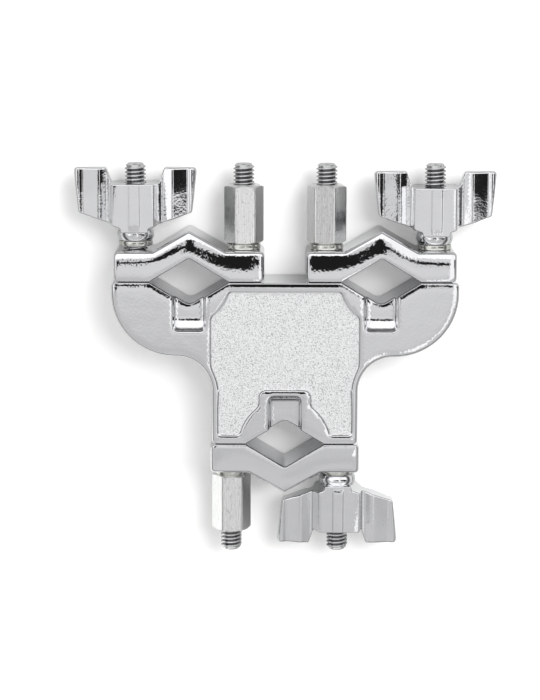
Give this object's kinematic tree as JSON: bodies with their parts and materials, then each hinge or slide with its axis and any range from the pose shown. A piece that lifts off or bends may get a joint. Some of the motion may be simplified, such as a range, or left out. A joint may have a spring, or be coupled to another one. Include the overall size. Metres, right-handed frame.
{
  "type": "three-way tube clamp",
  "caption": "Chromed cast clamp that joins parallel round tubes: a flat body with V-grooved jaws drawn down on threaded studs by wing nuts and long hexagon nuts.",
  "frame": {"origin": "on the flat back face, midway between the upper and the lower parting plane and midway between the two upper clamps", "axes": "+X to the right and +Y up as the front is seen, along the studs; +Z out of the grained front, so the part lies on its flat back"},
  "size_m": [0.1558, 0.1466, 0.022],
  "materials": {
    "castings": "polished chrome plate on a smooth casting; the recessed front panel is finely grained under the same plate",
    "wing_nuts": "polished chrome plate on a die casting",
    "long_nuts": "bright plated bar with turned ends",
    "studs": "bright plated steel with a rolled thread",
    "washers": "plated spring steel, slightly warm grey"
  },
  "bodies": {
    "clamp_body": {"body": "castings", "upper_left_outer_stud": "studs", "upper_left_inner_stud": "studs", "upper_right_inner_stud": "studs", "upper_right_outer_stud": "studs", "lower_left_stud": "studs", "lower_right_stud": "studs"},
    "upper_left_wing_washer": {"upper_left_wing_washer": "washers"},
    "upper_left_wing_nut": {"upper_left_wing_nut": "wing_nuts"},
    "upper_left_jaw": {"upper_left_jaw": "castings"},
    "upper_left_hex_washer": {"upper_left_hex_washer": "washers"},
    "upper_left_hex_nut": {"upper_left_hex_nut": "long_nuts"},
    "upper_right_wing_washer": {"upper_right_wing_washer": "washers"},
    "upper_right_wing_nut": {"upper_right_wing_nut": "wing_nuts"},
    "upper_right_jaw": {"upper_right_jaw": "castings"},
    "upper_right_hex_washer": {"upper_right_hex_washer": "washers"},
    "upper_right_hex_nut": {"upper_right_hex_nut": "long_nuts"},
    "lower_wing_washer": {"lower_wing_washer": "washers"},
    "lower_wing_nut": {"lower_wing_nut": "wing_nuts"},
    "lower_jaw": {"lower_jaw": "castings"},
    "lower_hex_washer": {"lower_hex_washer": "washers"},
    "lower_hex_nut": {"lower_hex_nut": "long_nuts"}
  },
  "joints": [
    {"name": "upper_left_wing_washer_slide", "type": "slide", "parent": "clamp_body", "child": "upper_left_wing_washer", "axis": [0, 1, 0], "range_m": [0, 0.01694]},
    {"name": "upper_left_wing_turn", "type": "hinge", "parent": "upper_left_wing_washer", "child": "upper_left_wing_nut", "pos_m": [-0.0553, 0.0303, 0.011], "axis": [0, 1, 0], "range_deg": [0, 4320]},
    {"name": "upper_left_jaw_slide", "type": "slide", "parent": "clamp_body", "child": "upper_left_jaw", "axis": [0, 1, 0], "range_m": [0, 0.01694]},
    {"name": "upper_left_hex_washer_slide", "type": "slide", "parent": "clamp_body", "child": "upper_left_hex_washer", "axis": [0, 1, 0], "range_m": [0, 0.01694]},
    {"name": "upper_left_hex_turn", "type": "hinge", "parent": "upper_left_hex_washer", "child": "upper_left_hex_nut", "pos_m": [-0.0153, 0.0303, 0.011], "axis": [0, 1, 0], "range_deg": [0, 4320]},
    {"name": "upper_right_wing_washer_slide", "type": "slide", "parent": "clamp_body", "child": "upper_right_wing_washer", "axis": [0, 1, 0], "range_m": [0, 0.01694]},
    {"name": "upper_right_wing_turn", "type": "hinge", "parent": "upper_right_wing_washer", "child": "upper_right_wing_nut", "pos_m": [0.0553, 0.0303, 0.011], "axis": [0, 1, 0], "range_deg": [0, 4320]},
    {"name": "upper_right_jaw_slide", "type": "slide", "parent": "clamp_body", "child": "upper_right_jaw", "axis": [0, 1, 0], "range_m": [0, 0.01694]},
    {"name": "upper_right_hex_washer_slide", "type": "slide", "parent": "clamp_body", "child": "upper_right_hex_washer", "axis": [0, 1, 0], "range_m": [0, 0.01694]},
    {"name": "upper_right_hex_turn", "type": "hinge", "parent": "upper_right_hex_washer", "child": "upper_right_hex_nut", "pos_m": [0.0153, 0.0303, 0.011], "axis": [0, 1, 0], "range_deg": [0, 4320]},
    {"name": "lower_wing_washer_slide", "type": "slide", "parent": "clamp_body", "child": "lower_wing_washer", "axis": [0, -1, 0], "range_m": [0, 0.01694]},
    {"name": "lower_wing_turn", "type": "hinge", "parent": "lower_wing_washer", "child": "lower_wing_nut", "pos_m": [0.02, -0.0303, 0.011], "axis": [0, -1, 0], "range_deg": [0, 4320]},
    {"name": "lower_jaw_slide", "type": "slide", "parent": "clamp_body", "child": "lower_jaw", "axis": [0, -1, 0], "range_m": [0, 0.01694]},
    {"name": "lower_hex_washer_slide", "type": "slide", "parent": "clamp_body", "child": "lower_hex_washer", "axis": [0, -1, 0], "range_m": [0, 0.01694]},
    {"name": "lower_hex_turn", "type": "hinge", "parent": "lower_hex_washer", "child": "lower_hex_nut", "pos_m": [-0.02, -0.0303, 0.011], "axis": [0, -1, 0], "range_deg": [0, 4320]}
  ],
  "couplings": [
    {"joint": "upper_left_wing_washer_slide", "follows": "upper_left_wing_turn", "m_per_rad": 0.00022458},
    {"joint": "upper_left_jaw_slide", "follows": "upper_left_wing_turn", "m_per_rad": 0.00022458},
    {"joint": "upper_left_hex_washer_slide", "follows": "upper_left_wing_turn", "m_per_rad": 0.00022458},
    {"joint": "upper_left_hex_turn", "follows": "upper_left_wing_turn", "ratio": 1},
    {"joint": "upper_right_wing_washer_slide", "follows": "upper_right_wing_turn", "m_per_rad": 0.00022458},
    {"joint": "upper_right_jaw_slide", "follows": "upper_right_wing_turn", "m_per_rad": 0.00022458},
    {"joint": "upper_right_hex_washer_slide", "follows": "upper_right_wing_turn", "m_per_rad": 0.00022458},
    {"joint": "upper_right_hex_turn", "follows": "upper_right_wing_turn", "ratio": 1},
    {"joint": "lower_wing_washer_slide", "follows": "lower_wing_turn", "m_per_rad": 0.00022458},
    {"joint": "lower_jaw_slide", "follows": "lower_wing_turn", "m_per_rad": 0.00022458},
    {"joint": "lower_hex_washer_slide", "follows": "lower_wing_turn", "m_per_rad": 0.00022458},
    {"joint": "lower_hex_turn", "follows": "lower_wing_turn", "ratio": 1}
  ]
}
